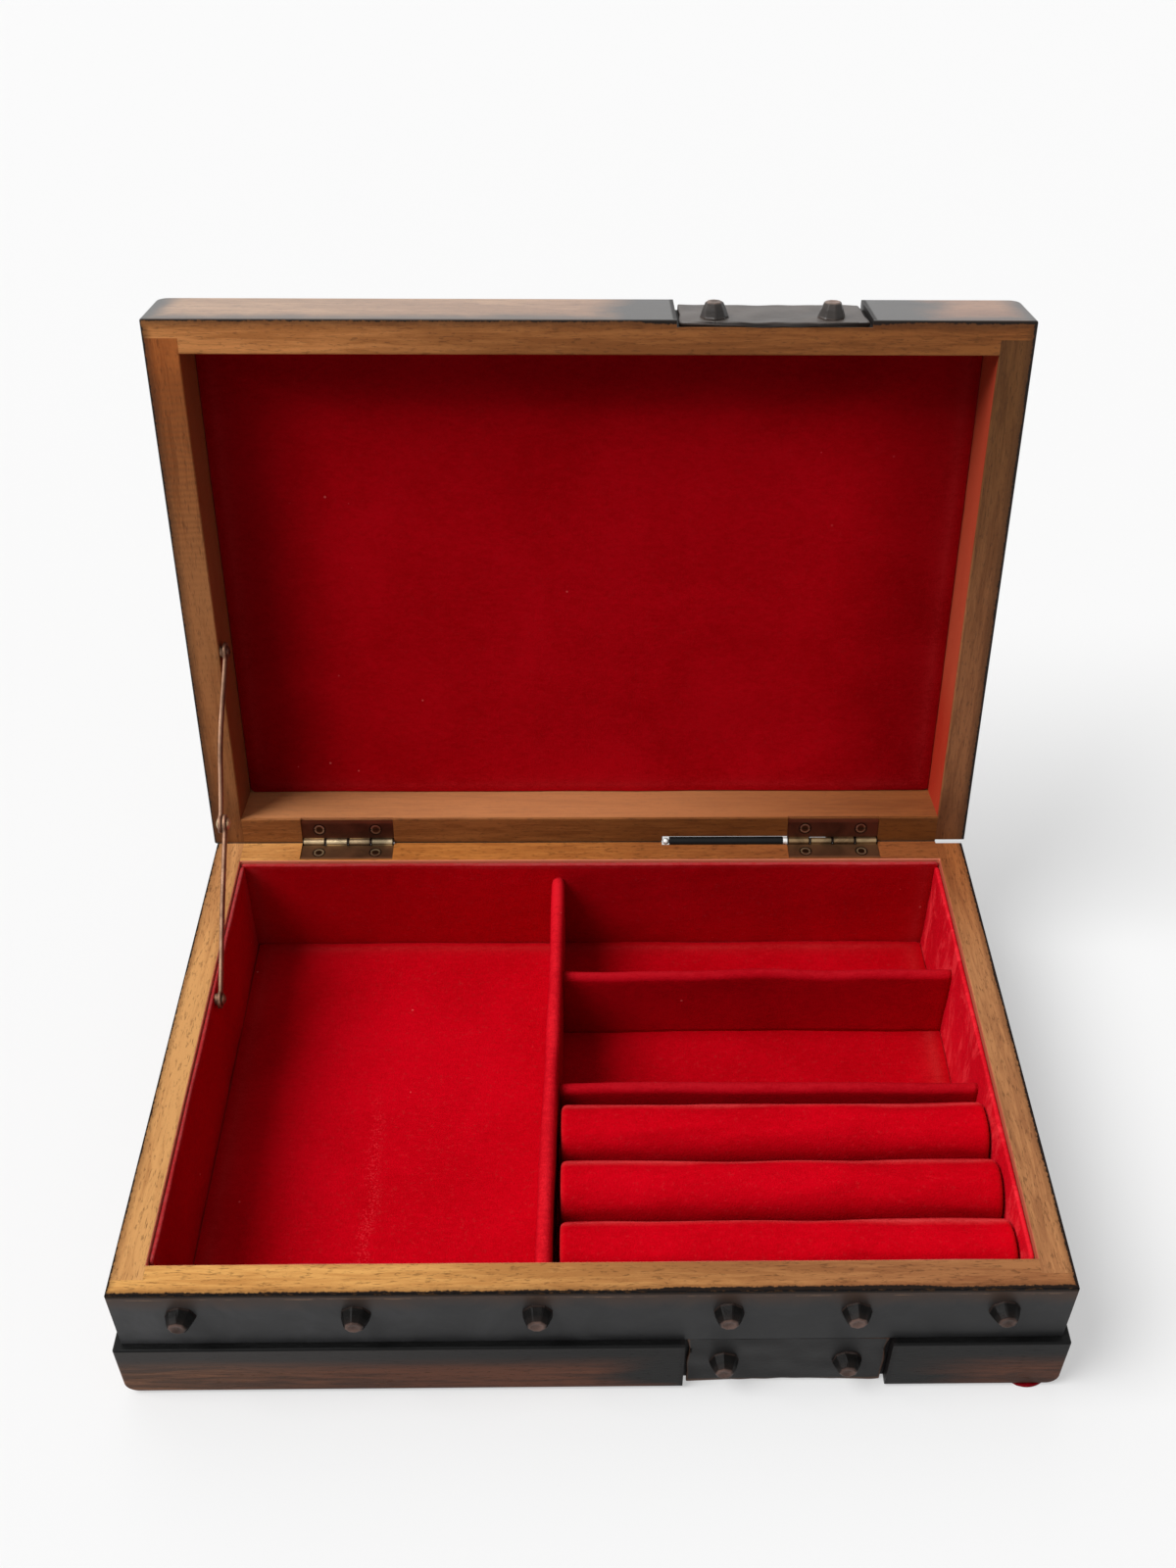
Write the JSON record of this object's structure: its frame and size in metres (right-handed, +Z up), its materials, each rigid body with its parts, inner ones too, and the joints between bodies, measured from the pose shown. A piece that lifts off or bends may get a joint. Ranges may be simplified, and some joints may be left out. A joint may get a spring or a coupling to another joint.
{
  "type": "valet box",
  "caption": "Hinged wooden valet box with metal-look bands, faceted studs, velvet-lined compartments, padded ring rolls and a folding lid stay.",
  "frame": {"origin": "middle of the underside, where the felt meets the table", "axes": "+X to the box's right, +Y towards the hinges at the back, +Z up"},
  "size_m": [0.2848, 0.2573, 0.2433],
  "materials": {
    "stained_wood": "satin, stained",
    "black_iron": "satin black",
    "worn_studs": "dark bronze, worn brown tips",
    "red_velvet": "short velvet pile",
    "dark_felt": "felt",
    "dark_bronze": "dulled bronze",
    "brass": "worn brass",
    "black_sleeve": "satin black",
    "bright_steel": "bright"
  },
  "bodies": {
    "base": {"front_wall": "stained_wood", "back_wall": "stained_wood", "left_wall": "stained_wood", "right_wall": "stained_wood", "bottom_board": "stained_wood", "front_band": "black_iron", "back_band": "black_iron", "left_band": "black_iron", "right_band": "black_iron", "band_studs": "worn_studs", "base_strap": "black_iron", "base_strap_studs": "worn_studs", "underside_felt": "dark_felt", "floor_lining": "red_velvet", "front_lining": "red_velvet", "back_lining": "red_velvet", "left_lining": "red_velvet", "right_lining": "red_velvet", "centre_divider": "red_velvet", "rear_cross_divider": "red_velvet", "front_cross_divider": "red_velvet", "ring_roll_front": "red_velvet", "ring_roll_middle": "red_velvet", "ring_roll_rear": "red_velvet", "left_hinge_base_leaf": "dark_bronze", "right_hinge_base_leaf": "dark_bronze", "base_hinge_screws": "dark_bronze", "left_hinge_pin": "brass", "right_hinge_pin": "brass", "rod_sleeve": "black_sleeve", "rod_collar": "bright_steel", "rod_end_ball": "bright_steel", "stay_base_screw": "brass", "stay_base_spacer": "brass"},
    "lid": {"lid_front_rail": "stained_wood", "lid_back_rail": "stained_wood", "lid_left_rail": "stained_wood", "lid_right_rail": "stained_wood", "lid_top_board": "stained_wood", "lid_lining": "red_velvet", "lid_strap": "black_iron", "lid_studs": "worn_studs", "left_hinge_lid_leaf": "dark_bronze", "right_hinge_lid_leaf": "dark_bronze", "lid_hinge_screws": "dark_bronze", "stay_lid_screw": "brass", "stay_lid_spacer": "brass"},
    "stay_lower": {"stay_lower_arm": "brass", "elbow_rivet_head": "brass"},
    "stay_upper": {"stay_upper_arm": "brass", "elbow_rivet_tail": "brass"}
  },
  "joints": [
    {"name": "lid_hinge", "type": "hinge", "parent": "base", "child": "lid", "pos_m": [0, 0.096, 0.0502], "axis": [1, 0, 0], "range_deg": [0, 100]},
    {"name": "stay_base_pivot", "type": "hinge", "parent": "base", "child": "stay_lower", "pos_m": [-0.12665, 0.0205, 0.0465], "axis": [1, 0, 0], "range_deg": [-26.2, 0]},
    {"name": "stay_lid_pivot", "type": "hinge", "parent": "lid", "child": "stay_upper", "pos_m": [-0.12835, 0.11221, 0.12604], "axis": [1, 0, 0], "range_deg": [0, 48.4]}
  ],
  "couplings": [
    {"joint": "stay_base_pivot", "follows": "lid_hinge", "ratio": -0.25744},
    {"joint": "stay_lid_pivot", "follows": "lid_hinge", "ratio": 0.47859}
  ]
}
